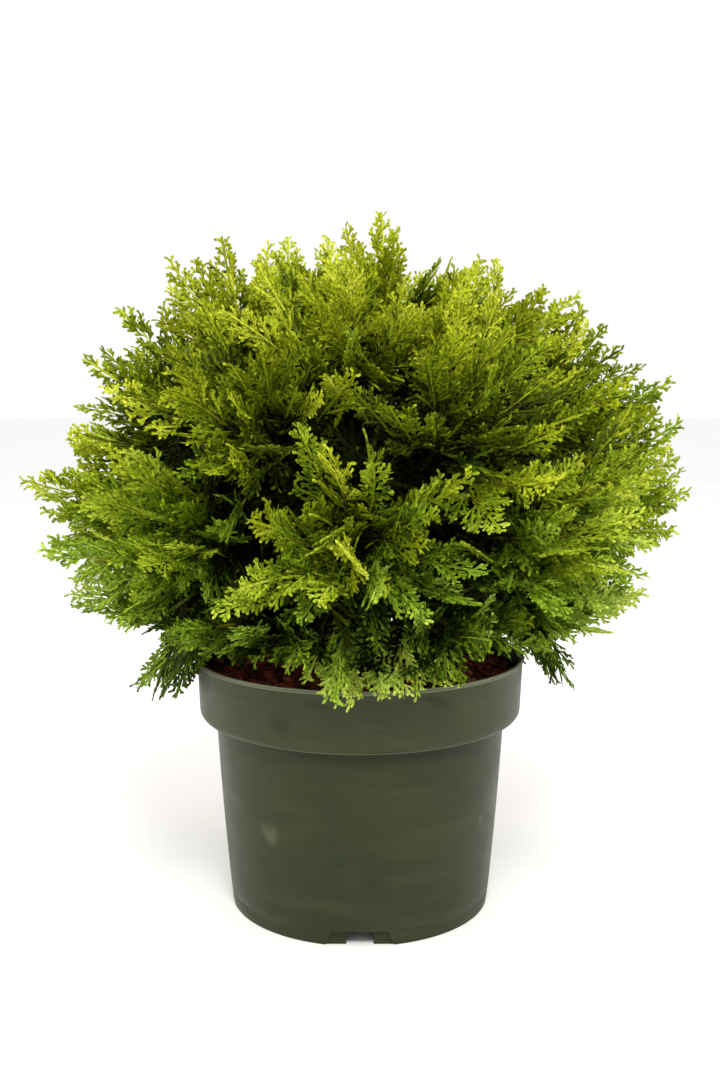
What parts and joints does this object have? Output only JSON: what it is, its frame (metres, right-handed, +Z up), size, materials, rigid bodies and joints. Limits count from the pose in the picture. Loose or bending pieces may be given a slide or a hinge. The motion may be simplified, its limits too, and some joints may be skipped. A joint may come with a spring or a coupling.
{
  "type": "dwarf hinoki cypress in a nursery pot",
  "caption": "Low, dense globe of flat green conifer fans on a short trunk, growing in a round plastic nursery pot filled with bark mulch",
  "frame": {"origin": "on the ground under the middle of the plant, on the pot's axis", "axes": "+Z up along the pot's axis and the trunk, -Y towards the side of the front drain notch"},
  "size_m": [0.4662, 0.4546, 0.4832],
  "materials": {
    "pot_plastic": "satin moulded plastic, dark olive green",
    "bark_mulch": "loose red-brown bark chips",
    "bark": "thin fibrous reddish-brown bark",
    "foliage": "scale leaves, bright yellow-green at the tips and deep green inside"
  },
  "bodies": {
    "root": {"pot": "pot_plastic", "soil": "bark_mulch", "trunk": "bark", "bough_low_1": "bark", "foliage_low_1": "foliage", "bough_low_2": "bark", "foliage_low_2": "foliage", "bough_low_3": "bark", "foliage_low_3": "foliage", "bough_low_4": "bark", "foliage_low_4": "foliage", "bough_low_5": "bark", "foliage_low_5": "foliage", "bough_low_6": "bark", "foliage_low_6": "foliage", "bough_low_7": "bark", "foliage_low_7": "foliage", "bough_low_8": "bark", "foliage_low_8": "foliage", "bough_middle_1": "bark", "foliage_middle_1": "foliage", "bough_middle_2": "bark", "foliage_middle_2": "foliage", "bough_middle_3": "bark", "foliage_middle_3": "foliage", "bough_middle_4": "bark", "foliage_middle_4": "foliage", "bough_middle_5": "bark", "foliage_middle_5": "foliage", "bough_middle_6": "bark", "foliage_middle_6": "foliage", "bough_middle_7": "bark", "foliage_middle_7": "foliage", "bough_middle_8": "bark", "foliage_middle_8": "foliage", "bough_upper_1": "bark", "foliage_upper_1": "foliage", "bough_upper_2": "bark", "foliage_upper_2": "foliage", "bough_upper_3": "bark", "foliage_upper_3": "foliage", "bough_upper_4": "bark", "foliage_upper_4": "foliage", "bough_upper_5": "bark", "foliage_upper_5": "foliage", "bough_upper_6": "bark", "foliage_upper_6": "foliage", "bough_high_1": "bark", "foliage_high_1": "foliage", "bough_high_2": "bark", "foliage_high_2": "foliage", "bough_high_3": "bark", "foliage_high_3": "foliage", "bough_high_4": "bark", "foliage_high_4": "foliage", "foliage_crown_top": "foliage"}
  },
  "joints": []
}
